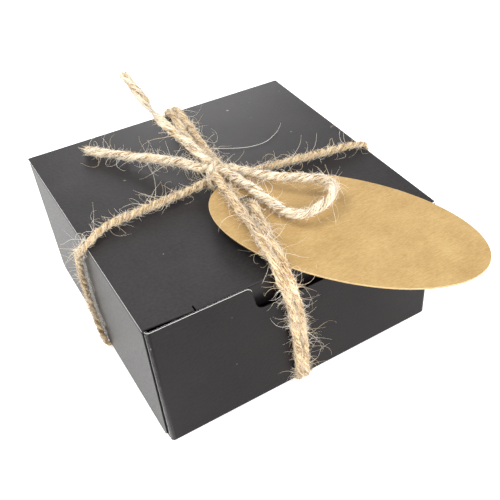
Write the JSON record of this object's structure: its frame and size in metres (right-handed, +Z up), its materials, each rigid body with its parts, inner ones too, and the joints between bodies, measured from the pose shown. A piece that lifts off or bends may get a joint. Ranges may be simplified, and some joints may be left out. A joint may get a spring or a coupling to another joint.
{
  "type": "gift box",
  "caption": "Square folding paperboard gift box with a hinged tuck-in lid, tied both ways with jute twine in a bow, with an oval kraft card tag.",
  "frame": {"origin": "on the table under the middle of the box", "axes": "+X along the front wall to the right, +Y from the front wall to the lid's hinge, +Z up"},
  "size_m": [0.1076, 0.1363, 0.0764],
  "materials": {
    "black_board": "uncoated matt black paperboard with light cut edges",
    "jute_twine": "natural hairy two-ply jute",
    "kraft_card": "brown kraft card with fine fibres"
  },
  "bodies": {
    "box": {"base_panel": "black_board", "front_wall": "black_board", "back_wall": "black_board", "left_wall": "black_board", "right_wall": "black_board", "front_left_glue_tab": "black_board", "front_right_glue_tab": "black_board", "back_left_glue_tab": "black_board", "back_right_glue_tab": "black_board", "base_twine_across": "jute_twine", "base_twine_along_left": "jute_twine", "base_twine_along_right": "jute_twine"},
    "lid": {"lid_panel": "black_board"},
    "tuck": {"tuck_flap": "black_board"},
    "left_dust": {"left_dust_flap": "black_board"},
    "right_dust": {"right_dust_flap": "black_board"},
    "twine": {"wrap_left": "jute_twine", "wrap_right": "jute_twine", "wrap_back_left": "jute_twine", "wrap_back_right": "jute_twine", "wrap_front_left": "jute_twine", "wrap_front_right": "jute_twine", "bow_loop": "jute_twine", "tail_long": "jute_twine", "tail_short": "jute_twine", "twine_knot": "jute_twine"},
    "tag": {"oval_tag": "kraft_card"}
  },
  "joints": [
    {"name": "lid_hinge", "type": "hinge", "parent": "box", "child": "lid", "pos_m": [0, 0.05, 0.0495], "axis": [-1, 0, 0], "range_deg": [0, 110]},
    {"name": "tuck_crease", "type": "hinge", "parent": "lid", "child": "tuck", "pos_m": [0, -0.0492, 0.0495], "axis": [-1, 0, 0], "range_deg": [0, 44.1]},
    {"name": "left_dust_crease", "type": "hinge", "parent": "box", "child": "left_dust", "pos_m": [-0.05, 0, 0.0489], "axis": [0, -1, 0], "range_deg": [0, 99.1]},
    {"name": "right_dust_crease", "type": "hinge", "parent": "box", "child": "right_dust", "pos_m": [0.05, 0, 0.0489], "axis": [0, 1, 0], "range_deg": [0, 99.1]},
    {"name": "twine_lift", "type": "slide", "parent": "box", "child": "twine", "axis": [0, 0, 1], "range_m": [0, 0.2017]},
    {"name": "tag_swivel", "type": "hinge", "parent": "twine", "child": "tag", "pos_m": [-0.0021, -0.02, 0.0539], "axis": [0.0322, -0.0412, 0.9986], "range_deg": [0, 15]}
  ],
  "couplings": [
    {"joint": "tuck_crease", "follows": "lid_hinge", "ratio": 0.4},
    {"joint": "left_dust_crease", "follows": "lid_hinge", "ratio": 0.9},
    {"joint": "right_dust_crease", "follows": "lid_hinge", "ratio": 0.9},
    {"joint": "twine_lift", "follows": "lid_hinge", "m_per_rad": 0.105}
  ]
}
